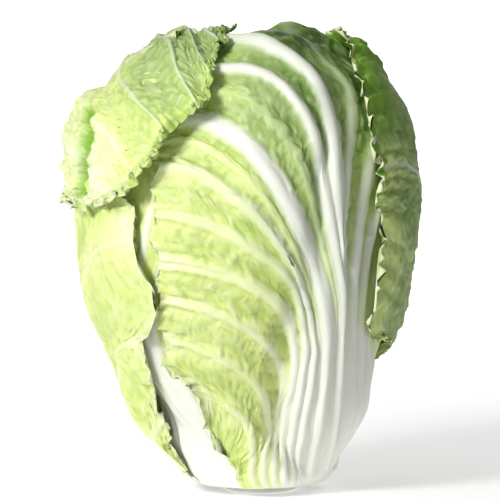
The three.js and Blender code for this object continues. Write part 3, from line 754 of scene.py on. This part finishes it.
# How strong the front leaf's ribs are, from its last left vein through the midrib to its last right one.
FRONT_STRENGTH = np.array([
    0.3, 0.35, 0.4, 0.45, 0.7, 0.8, 1.0, 0.35, 1.2, 0.35, 1.35, 1.5, 0.6, 1.0, 1.05, 0.9, 0.8, 0.7])


def fine_shares(leaf, columns):
    """Shares across the leaf, closer together near each vein."""
    t = np.arange(columns) / columns
    t = t - 0.3 * np.sin(2 * math.pi * t) / (2 * math.pi)
    left = np.concatenate([(i + t) / leaf.veins[0] - 1 for i in range(leaf.veins[0])])
    right = np.concatenate([(i + t) / leaf.veins[1] for i in range(leaf.veins[1])])
    return np.concatenate([left, right, [1.0]])


def tone_of(leaf, points, along):
    """How green the blade is, from 0, pale yellow, to 1, dark green."""
    x, y, z = np.moveaxis(points, -1, 0)
    mottle = cloud(points, 26, 3) * 0.06 + cloud(points, 9, 5) * 0.04
    if leaf.name == "front_leaf":
        tone = 0.17 + 0.36 * ease(-20, 40, x + 0.25 * (z - 150)) * ease(60, 140, z)
        tone = tone + 0.14 * ease(160, 225, z) + 0.5 * ease(236, 258, z + 0.05 * x)
    elif leaf.name == "right_leaf":
        tone = 0.58 + 0.1 * ease(80, 220, z) - 0.25 * ease(0.9, 1, along)
    elif leaf.name == "left_leaf":
        tone = 0.16 + 0.16 * ease(150, 240, z) + 0.3 * ease(-20, 60, y)
    elif leaf.name == "back_leaf":
        tone = 0.35 + 0.35 * ease(100, 240, z)
    else:
        tone = 0.12 + 0.12 * ease(150, 240, z)
    return np.clip(tone + mottle, 0, 1)


def with_frill(upper, under, frill, length, seed):
    """Adds rows past a margin: a frill that curls outward and waves more and more towards its rim.

    Frill gives, for each column, its width, the height of its waves and how far it curls, in degrees.
    """
    wide, wave, curl = (row[None, :, None] for row in np.moveaxis(frill, -1, 0))
    last = upper[-1]
    beyond = unit(last - upper[-6])
    out = normals_of(upper)[-1]
    out = unit(out - beyond * (out * beyond).sum(axis=-1, keepdims=True))
    sideways = np.cross(beyond, out)
    run = run_through(last)
    phase = 2 * math.pi * (run / length + 0.8 * ripple(run / (length * 2.2), seed))
    swing = (np.sin(phase) + 0.4 * np.sin(2.3 * phase + seed))[None, :, None]
    lean = 0.75 * np.cos(phase)[None, :, None]
    v = np.linspace(0, 1, FRILL_ROWS + 1)[1:, None, None]
    angle = np.radians(curl) * v
    ahead = np.cos(angle) * beyond + np.sin(angle) * out
    aside = np.cos(angle) * out - np.sin(angle) * beyond
    rows = last + np.cumsum(ahead * wide / FRILL_ROWS, axis=0)
    rows = rows + aside * wave * swing * v ** 1.3 + sideways * wave * lean * v ** 1.1
    full = np.concatenate([upper, rows])
    thick = length_of(upper[-1] - under[-1])[None, :, None]
    lower = rows - normals_of(full)[-FRILL_ROWS:] * mix(thick, 0.75, v)
    return full, np.concatenate([under, lower]), np.broadcast_to(v[..., 0], rows.shape[:2]), swing[0, :, 0]


def carried_past(values):
    """The values with the margin's own repeated over its frill, and the frill's rows of each to change."""
    values = {key: np.concatenate([value, np.repeat(value[-1:], FRILL_ROWS, axis=0)])
              for key, value in values.items()}
    return values, {key: value[-FRILL_ROWS:] for key, value in values.items()}


def rib_strength(leaf, number, seed):
    """How strong the rib of that number is, and 0 where the leaf has none."""
    there = (number >= -leaf.veins[0]) & (number <= leaf.veins[1])
    if leaf.name == "front_leaf":
        return FRONT_STRENGTH[np.clip(number + 11, 0, 17).astype(int)] * there
    return np.where(number == 0, 1.3, mix(0.7, 1.1, draw(number * 3.7 + seed))) * there


def woven(bay, width, run, seed):
    """Where a blade's puckers lie: across each bay and, drawn out, along the leaf, in metres."""
    across = (bay - np.floor(bay)) * width + np.floor(bay) * 23
    return np.stack([across, run * 0.5, np.full_like(run, seed * 50)], axis=-1) * MM


def dress(leaf):
    """The leaf with its ribs, side veins, ruffled margin and puckered blade."""
    look = LOOKS[leaf.name]
    seed = 1 + [other.name for other in leaves].index(leaf.name)
    columns, rows = (count // 1 for count in (look.columns, look.rows))
    shares = fine_shares(leaf, columns)
    t = np.arange(rows + 1) / rows
    alongs = mix(t, 1 - (1 - t) ** FINE_CLOSENESS, 0.6)
    share, along = np.meshgrid(shares, alongs)
    count = np.where(share < 0, leaf.veins[0], leaf.veins[1])
    bay = share * count
    nearest = np.round(bay)
    teeth = ripple(shares * sum(leaf.veins) * 2.2, seed) * 0.016 + ripple(shares * 70, seed + 9) * 0.010
    polar, side, toward = leaf.on_vein(share, along, teeth[None] * ease(0.5, 1, along))
    wiggle = patches(bay * 0.6, along * 6, seed) * ease(0.15, 0.4, along) * ease(1, 0.8, along)
    toward = leaf.toward(polar, side + wiggle)
    under_height = leaf.ground_at(share, along) + leaf.lift(share, along, polar, side, toward)
    under = place(toward, under_height)
    upper = place(toward, under_height + leaf.body(polar, side, FINE_STEEPNESS))
    outward = normals_of(upper)

    # along the leaf in millimetres, the width of each bay and the distance to the nearest vein
    run = run_through(upper)
    d_share, d_along = np.gradient(upper, shares, axis=1), np.gradient(upper, alongs, axis=0)
    spacing = length_of(np.cross(d_share, d_along)) / length_of(d_along)
    width = spacing / count
    off = np.abs(bay - nearest) * width
    between = np.sin(math.pi * (bay - np.floor(bay))) ** 2
    margin_run = run_through(upper[-1])[None]

    # ribs: broad, rounded and side by side in the stalk, and apart with sunken blade between them above
    ridge, rib, rise = (np.zeros_like(bay) for _ in range(3))
    steps_across = (spacing[:, 1:] + spacing[:, :-1]) / 2 * np.diff(shares)
    reach = np.concatenate([np.zeros((len(alongs), 1)), np.cumsum(steps_across, axis=1)], axis=1)

    def reach_of(number):
        """How far across the leaf, in millimetres, the veins of these numbers lie in every row."""
        on = number[0] / np.where(number[0] < 0, leaf.veins[0], leaf.veins[1])
        return reach[:, np.round(np.interp(on, shares, np.arange(len(shares)))).astype(int)]

    widest = 0.62 if leaf.name == "front_leaf" else 0.34
    for step_over in (-1, 0, 1, 2):
        number = np.floor(bay) + step_over
        away = reach - reach_of(number)
        apart = np.abs(reach_of(number + np.where(bay < number, -1, 1)) - reach_of(number))
        apart = np.where(apart < 1e-6, width, apart)
        uneven = ripple(along * 5 + number * 13.7, seed + 4)
        strong = rib_strength(leaf, number, seed)
        half = mix(*look.rib, along) * mix(0.35, 1, np.minimum(1.1, strong)) * (1 + 0.25 * uneven)
        half = np.minimum(half, apart * mix(0.34, widest, ease(0.9, 1.2, strong)))
        own = (1 - np.minimum(1, np.abs(away) / (RIB_FOOT * half)) ** 2) ** 2
        risen = own * mix(*look.rise, along) * strong * np.minimum(1, half / 1.2)
        risen = risen * (1 - 0.2 * uneven)
        ridge, rise = np.maximum(ridge, own * ease(0.1, 0.5, strong)), np.maximum(rise, risen)
        lasting = mix(1, mix(0.25, 1, ease(0.95, 1.15, strong)), ease(0.4, 0.8, along))
        rib = np.maximum(rib, ease(0.05, 0.8, own) * ease(0.15, 0.6, strong) * lasting)
    broad = ease(3, 14, width)
    sunken = 2.4 * between * broad * (1 - 0.75 * along) * ease(0.05, 0.3, along)

    # long folds run with the ribs, and side veins leave them at an angle and meet in a net
    fold = np.clip(1 - np.abs(patches(bay * 2.3, run / 24, seed + 30)) * 4, 0, 1)
    fold = fold * between * ease(5, 11, width) * ease(0.1, 0.3, along)
    wander = cloud(upper, 7, seed) * 2.4
    aside = ripple(nearest * 5.1 + np.sign(bay - nearest) * 2.3, seed) * 6
    stripe = (run - off * SLANT + wander * 1.5 + aside) / look.side[0]
    from_line = np.abs(stripe - np.round(stripe)) * look.side[0] / math.hypot(1, SLANT)
    net = ease(1.2, 0.2, from_line) * ease(4, 8, width) * ease(0.05, 0.2, along) * (1 - ridge)
    net = np.maximum(net * mix(0.4, 1, draw(np.round(stripe) * 1.7 + nearest)), fold)

    # a gently ruffled blade near the margin
    height, length = look.ruffle
    slow = ripple(margin_run / (length * 3), seed + 2) * 1.3
    wave = np.sin(2 * math.pi * (margin_run / length + slow))
    wave = wave * mix(0.45, 1, 0.5 + 0.5 * ripple(margin_run / 17, seed))
    bare = 1 - 0.8 * ease(leaf.bare_below - 20, leaf.bare_below, polar) if leaf.bare_below else 1.0
    ruffle = height * (wave + 0.3) * ease(0.75, 1, along) ** 1.6 * bare * (0.4 if leaf.covered else 0.7)

    edge = ease(0.93, 1, along)
    thick = ease(1.05, 0.55, leaf.off_midrib(polar, side)) * ease(95, 50, polar)
    white = np.clip(np.maximum(rib * mix(1, 0.7, ease(0.8, 1, along)), thick), 0, 1)
    blade = (1 - ridge) * (1 - thick) * ease(2, 6, width) * ease(0.08, 0.25, along)
    # painted shade: darker on the flanks of each rib and in the middle of broad bays
    deep = ease(0.35, 0.1, ridge) * ease(0.0, 0.1, ridge) * 0.5 + between * 0.35 * broad
    raised = rise * ease(0, 0.06, along) - sunken * (1 - 0.8 * thick)
    raised = raised + look.side[1] * net * (1 + fold * 1.5)
    if leaf.name == "front_leaf":
        x, _, z = np.moveaxis(upper, -1, 0)
        ruffle = ruffle + 5 * ease(232, 250, z) * ease(-14, 8, x) * ease(62, 34, x)
    upper = upper + outward * (raised + ruffle)[..., None]
    under = under + outward * (ruffle - np.minimum(sunken, 1.5))[..., None]
    lay = np.stack([share * LAY_LENGTH, run / LAY_LENGTH, np.full_like(run, seed)], axis=-1)
    weave = woven(bay, width, run, seed)
    tone = tone_of(leaf, upper, along) + 0.14 * between * broad
    fresh = np.zeros_like(bay)
    # painted light: the blade is made paler towards its right, below the crown, as if lit there
    if leaf.name == "front_leaf":
        tone = tone - 0.22 * ease(35, 60, x) * ease(235, 205, z)
    if leaf.name == "right_leaf":
        fresh = 0.85 * ease(0.82, 0.97, along) * ease(175, 215, upper[..., 2])
    values = {"rib": white, "net": net, "tone": tone, "edge": edge, "blade": blade,
              "deep": deep * (1 - thick), "fresh": fresh, "lay": lay, "weave": weave}

    # the frilled margin
    left, right = (through(rows, polar[-1]) for rows in look.frill)
    frill = np.where((shares < 0)[:, None], left, right)
    upper, under, v, swing = with_frill(upper, under, frill, look.ruffle[1], seed)
    values, past = carried_past(values)
    past["rib"] *= 1 - v
    past["blade"] *= 1 - 0.6 * v
    past["tone"][:] = mix(past["tone"], 0.12, ease(0.55, 0.95, v))
    inside = ease(0, 0.3, v) * ease(0.98, 0.75, v)
    past["fresh"][:] = look.fresh * inside * ease(2, 6, frill[:, 0])
    # painted shade where the frill's waves swing inward
    past["deep"][:] = np.clip(-swing, 0, 1) * 0.4
    values["outward"] = normals_of(upper)
    piece = closed_sheet(leaf.name + "_fine", upper, under, values)
    work(piece, leaf.name, seed, (0.0012 * look.pucker, 0.006), (0.0018, SWELL_SIZE))


# ---- the hood: the top of the left leaf, folded over the front leaf ----

# From the crown down to its outer corner: share, azimuth and polar angle of its root and of its margin.
HOOD_ROOT = [[0, -108, 172], [0.12, -116, 164], [0.25, -119, 155], [0.42, -119, 146], [0.53, -119, 138],
             [0.64, -119, 130], [0.74, -119, 122], [0.87, -117, 112], [1, -113, 103]]
HOOD_MARGIN = [[0, -68, 174], [0.12, -21, 153], [0.25, -19, 141], [0.42, -16, 122], [0.53, -25, 115],
               [0.64, -32, 105], [0.74, -39, 99], [0.87, -59, 95], [1, -87, 96]]
HOOD_FRILL = [[0, 3, 1.2, 10], [0.2, 4, 1.8, 25], [0.5, 5, 2.2, 10], [0.8, 6, 3, 5], [1, 5, 2.6, 20]]
HOOD_VEINS = 9
HOLLOW = np.array([[-93.5, 207.0], [-98.0, 165.0]])


def beside_line(points, ends):
    """How far points lie, as seen from the front, from a line between two ends, in millimetres."""
    flat = points[..., [0, 2]]
    run = ends[1] - ends[0]
    t = np.clip(((flat - ends[0]) @ run) / (run @ run), 0, 1)
    return length_of(flat - (ends[0] + t[..., None] * run))


def steps(columns, rows):
    return np.meshgrid(np.arange(columns + 1) / columns, np.arange(rows + 1) / rows)


def dress_hood(below, layers, folded):
    coarse_rows, coarse_columns = 20, 44
    rows, columns = ((144, 416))

    def towards(share, t):
        root, margin = (direction(through(rows, share)[..., 1], curve(rows, share))
                        for rows in (HOOD_ROOT, HOOD_MARGIN))
        return unit(mix(root, margin, t[..., None]))

    share, t = steps(coarse_columns, coarse_rows)
    at_crown = ease(0.5, 0.2, share)
    ground = mix(smooth_at(highest_near(0.08, layers), towards(share, t)),
                 smooth_at(highest_near(0.05, below), towards(share, t)), at_crown)
    lifted = smooth_at(folded, towards(share, t)) - mix(5, 12, at_crown)
    coarse = np.maximum(ground + 0.6, mix(ground, lifted, ease(0, 0.25, t)))
    share, t = steps(columns, rows)
    wiggle = patches(share * 5, t * 4, 61) * 0.02 * ease(0, 0.2, t) * np.sin(math.pi * share)
    toward = towards(np.clip(share + wiggle, 0, 1), t)
    base = between_grid(coarse, t * coarse_rows, share * coarse_columns)
    rolled = 1.2 * patches(share * 6, t * 5, 62) * ease(0.1, 0.4, t)
    height = (base - 3 * ease(0.12, 0, t) + 1.5 * ease(0.75, 1, t) + rolled
              - 2 * ease(0.4, 0.05, share) * ease(0.1, 0.5, t))
    under = place(toward, height)
    upper = place(toward, height + BLADE)
    ragged = patches(share * 24, t * 14, 68)
    hollow = ease(5.5, 0.5, beside_line(upper, HOLLOW) + 1.6 * ragged) * ease(0.15, 0.3, t)
    outward = normals_of(upper)
    width = length_of(np.gradient(upper, share[0], axis=1)) / HOOD_VEINS
    run = run_through(upper)
    bay = share * HOOD_VEINS + 0.25 * patches(share * 5, t * 3, 63)
    off = np.abs(bay - np.round(bay)) * width
    between = np.sin(math.pi * (bay - np.floor(bay))) ** 2
    sunken = between * ease(4, 12, width)
    strong = mix(0.5, 1.1, draw(np.round(bay) * 2.9))
    half = np.minimum(mix(1.9, 0.9, t) * mix(0.6, 1, strong), 0.4 * width)
    ridge = (1 - np.minimum(1, off / (RIB_FOOT * half)) ** 2) ** 2
    ridge = ridge * ease(0, 0.05, share) * ease(1, 0.95, share)
    fold = np.clip(1 - np.abs(patches(bay * 2.1, run / 13, 64)) * 4, 0, 1) * between
    stripe = (run - off * 1.1 + cloud(upper, 8, 65) * 3) / 8
    net = ease(0.2, 0.03, np.abs(stripe - np.round(stripe))) * (1 - ridge)
    net = np.maximum(net * 0.8, fold) * ease(0.02, 0.1, t)
    upper = upper + outward * (1.9 * ridge * strong - 2.4 * sunken + 0.9 * net - 4.5 * hollow)[..., None]
    under = under - outward * (4.5 * hollow + 1.2 * sunken)[..., None]
    x, _, z = np.moveaxis(upper, -1, 0)
    pale = ease(-58, -90, x)
    tone = 0.55 - 0.3 * pale - 0.2 * ease(222, 190, z) + 0.2 * ease(225, 255, z) + cloud(upper, 18, 66) * 0.12
    # painted shade: darker in the sunken bays and in the hollow, which also takes a saturated green
    values = {"rib": ease(0.2, 0.9, ridge) * 0.55 * strong, "net": net, "tone": tone,
              "edge": ease(0.93, 1, t), "blade": (1 - ridge) * ease(0.03, 0.15, t),
              "deep": 0.3 * sunken + 0.5 * hollow, "fresh": hollow * 0.9,
              "lay": np.stack([share * LAY_LENGTH, run / LAY_LENGTH, np.full_like(run, 60)], axis=-1),
              "weave": woven(bay, width, run, 60)}
    upper, under, v, swing = with_frill(upper, under, through(HOOD_FRILL, share[0]), 7.5, 67)
    values, past = carried_past(values)
    past["rib"] *= 1 - v
    past["fresh"][:] = np.maximum(past["fresh"], 0.35 * ease(0, 0.4, v) * ease(0.98, 0.7, v))
    # painted shade where the frill's waves swing inward
    past["deep"][:] = np.clip(-swing, 0, 1) * 0.5
    values["outward"] = normals_of(upper)
    piece = closed_sheet("hood_fine", upper, under, values)
    work(piece, "left_leaf", 30, (0.0013, 0.0066), (0.003, 0.018))


# ---- the heart and the stump ----
HEART_TOP = 179.9
HEART_SINK = 1.5


def build_heart():
    innermost = leaves[-1]
    for n in range(HEART_LEAVES, 0, -1):
        Leaf("heart_leaf", innermost.azimuth + n * GOLDEN_ANGLE, 30, (3, 3), 12, stout=0.5, reach=0.95,
             lowest=HEART_MARGIN).lay()
    rows, columns = 90, 160
    polar, azimuth = np.meshgrid(np.linspace(HEART_FOOT, HEART_TOP, rows), np.linspace(0, 360, columns + 1),
                                 indexing="ij")
    toward = direction(polar, azimuth)
    top = smooth_at(stack, toward)
    return place(toward, top - HEART_SINK)


def dress_round(node, rings, seed, pucker_height, swell_height, **carried):
    """A closed round piece in a node's place, with what its finish reads."""
    flat = np.zeros(rings.shape[:2])
    values = dict.fromkeys(("rib", "net", "edge", "deep", "fresh", "blade"), flat)
    values.update({"lay": rings / LAY_LENGTH, "weave": rings * MM, "skin": flat + 1, **carried})
    work(closed_round(node + "_fine", rings, values), node, seed, (pucker_height, 0.0056),
         (swell_height, SWELL_SIZE))


def dress_stem():
    """The cut stump, flat below, with its rim worn round."""
    columns = 192
    profile = np.array([(0.15, 0), (4, 0), (8, 0), (12, 0), (15, 0), (17.6, 0), (18.6, 0.25), (19.4, 0.9),
                        (19.9, 2.2), (18.9, 6), (17.4, 11), (15.6, 16), (13, 19.6), (8, 21.4), (0.15, 22)])
    azimuth = np.linspace(0, 2 * math.pi, columns, endpoint=False)
    radius, z = (profile[:, i:i + 1] + np.zeros(columns) for i in (0, 1))
    rings = np.stack([radius * np.sin(azimuth), -radius * np.cos(azimuth), z], axis=-1)
    full = np.ones(radius.shape)
    dress_round("stem", rings, 21, 0.0, 0.0, rib=full, tone=0.1 * full, outward=unit(rings))


UNDER_HOOD, UNDER_HOOD_FROM, HOODED_TOP = 22, (100, 112), 158
FRONT_FRILL = (2.2, 0.6)

heart_rings = build_heart()[:, :-1]
dress_round("heart", heart_rings, 20, 0.0009, 0.001, blade=np.ones(heart_rings.shape[:2]),
            tone=0.1 + 0.3 * ease(150, 240, heart_rings[..., 2]),
            outward=unit(heart_rings - heart_rings.mean(axis=(0, 1))))
dress_stem()
stack += HEART_ALLOWANCE
for leaf in reversed(leaves):
    if leaf.hood:
        before, hooded, fold = stack.copy(), leaf, leaf.hood
        leaf.hood = None
        leaf.lay()
        leaf.hood, unfolded = fold, stack.copy()
        stack[:] = before
        leaf.lay()
        folded = stack.copy()
    else:
        leaf.lay()
dress_hood(before, unfolded, folded)
# The hooded leaf itself ends below its hood, and is narrower there.
hooded.hood = None
hooded.right[:, 2] -= UNDER_HOOD * ease(*UNDER_HOOD_FROM, hooded.right[:, 1])
for margin in (hooded.left, hooded.right):
    margin[:, 1] = np.minimum(margin[:, 1], HOODED_TOP)
front = next(leaf for leaf in leaves if leaf.name == "front_leaf")
front.frill = FRONT_FRILL
for leaf in leaves:
    dress(leaf)


# ---- floor, light and camera, in metres ----
PAPER, PAPER_GLOW_FAR, PAPER_GLOW_NEAR = (0.86, 0.86, 0.86), (0.42, 0.42, 0.42), (0.9, 0.9, 0.9)
SKY = 0.2
CAMERA_AWAY, CAMERA_TILT, PICTURE_WIDTH = 1.3, math.radians(1.5), 0.2765
AIMED_ACROSS, AIMED_UP = -0.0061, 0.1327
SENSOR = 36


def studio():
    mesh = bpy.data.meshes.new("floor")
    across, back, up, rise = 6.0, 3.0, 3.0, 24
    profile = [(-4.0, 0.0), (back - 1.0, 0.0)]
    profile += [(back - 1.0 + math.sin(a), 1.0 - math.cos(a)) for a in np.linspace(0, math.pi / 2, rise)]
    profile.append((back, up + 1.0))
    points = [(side * across, y, z) for y, z in profile for side in (-1, 1)]
    faces = [(2 * i, 2 * i + 1, 2 * i + 3, 2 * i + 2) for i in range(len(profile) - 1)]
    mesh.from_pydata(points, [], faces)
    mesh.shade_smooth()
    floor = new_object("floor", mesh)
    paper = bpy.data.materials.new("paper")
    paper.use_nodes = True
    tree = paper.node_tree
    at = add_node(tree, "ShaderNodeTexCoord", out=3)
    aside, back_off = (add_node(tree, "ShaderNodeSeparateXYZ", out=out, Vector=at) for out in (0, 1))
    # the paper glows as painted light: most at the back wall, less on the floor by the head, only in a strip
    # behind the head and none in front of it
    glow = tinted(tree, back_off.eased(0.0, 1.6), PAPER_GLOW_FAR, PAPER_GLOW_NEAR)
    seen = back_off.eased(-0.12, -0.04) * (1.0 - aside.maths("ABSOLUTE").eased(0.45, 0.8))
    glow = tinted(tree, seen, (0.0, 0.0, 0.0), glow)
    shader = tree.nodes["Principled BSDF"].inputs
    shader["Base Color"].default_value = (*PAPER, 1.0)
    shader["Roughness"].default_value = 0.9
    tree.links.new(glow.socket, shader["Emission Color"])
    shader["Emission Strength"].default_value = 1.0
    floor.data.materials.append(paper)

    def lamp(name, at, size, power, target=(0, 0, 0.13)):
        light = bpy.data.lights.new(name, "AREA")
        light.shape, light.size, light.energy = "DISK", size, power
        holder = new_object(name, light)
        holder.location = at
        away = np.array(at) - np.array(target)
        yaw = math.atan2(away[0], -away[1])
        tilt = math.atan2(math.hypot(away[0], away[1]), away[2])
        holder.rotation_euler = (tilt, 0, yaw)

    lamp("key", (-0.9, -1.12, 0.7), 0.5, 19.5)
    lamp("top", (-0.1, -0.1, 1.5), 1.0, 3)
    world = bpy.data.worlds.new("studio")
    world.use_nodes = True
    sky = world.node_tree.nodes["Background"].inputs
    sky["Color"].default_value = (1, 1, 1, 1)
    sky["Strength"].default_value = SKY
    bpy.context.scene.world = world
    bpy.context.scene.view_settings.view_transform = "Standard"

    data = bpy.data.cameras.new("camera")
    camera = new_object("camera", data)
    data.sensor_width = SENSOR
    data.lens = SENSOR / PICTURE_WIDTH * CAMERA_AWAY
    data.clip_end = 50
    camera.location = (AIMED_ACROSS, -CAMERA_AWAY * math.cos(CAMERA_TILT),
                       AIMED_UP + CAMERA_AWAY * math.sin(CAMERA_TILT))
    camera.rotation_euler = (math.pi / 2 - CAMERA_TILT, 0, 0)
    bpy.context.scene.camera = camera


studio()
